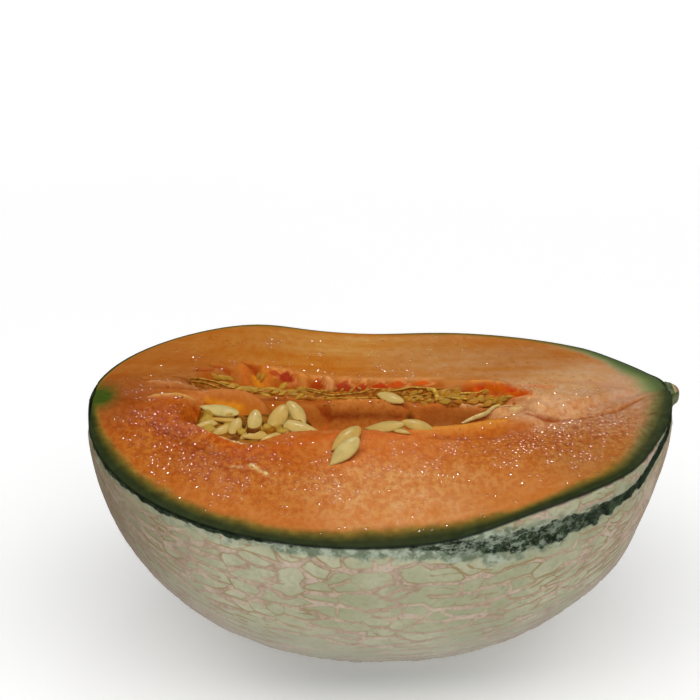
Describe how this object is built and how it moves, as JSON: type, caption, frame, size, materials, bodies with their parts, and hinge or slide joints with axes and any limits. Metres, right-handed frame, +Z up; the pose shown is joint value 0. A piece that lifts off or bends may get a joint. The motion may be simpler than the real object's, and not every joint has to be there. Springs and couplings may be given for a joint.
{
  "type": "melon half",
  "caption": "Netted orange-fleshed melon cut in half lengthwise, resting on its rind with the seed hollow, seeds and pulp facing up.",
  "frame": {"origin": "middle of the footprint, on the surface that the half rests on", "axes": "+X along the fruit's axis towards the stub of the stem, +Y away from the side with the loose seeds on it, +Z up out of the cut face"},
  "size_m": [0.1526, 0.1348, 0.0681],
  "materials": {
    "flesh": "wet, fine-grained orange fruit flesh, green under the rind",
    "seed": "wet cream to pale yellow melon seeds",
    "pulp": "wet yellow-green pulp fibres",
    "rind": "pale grey-green skin under beige corky netting, with dark green stripes"
  },
  "bodies": {
    "root": {"melon_half": "flesh", "seed_heap": "seed", "seed_strand": "pulp"}
  },
  "joints": []
}
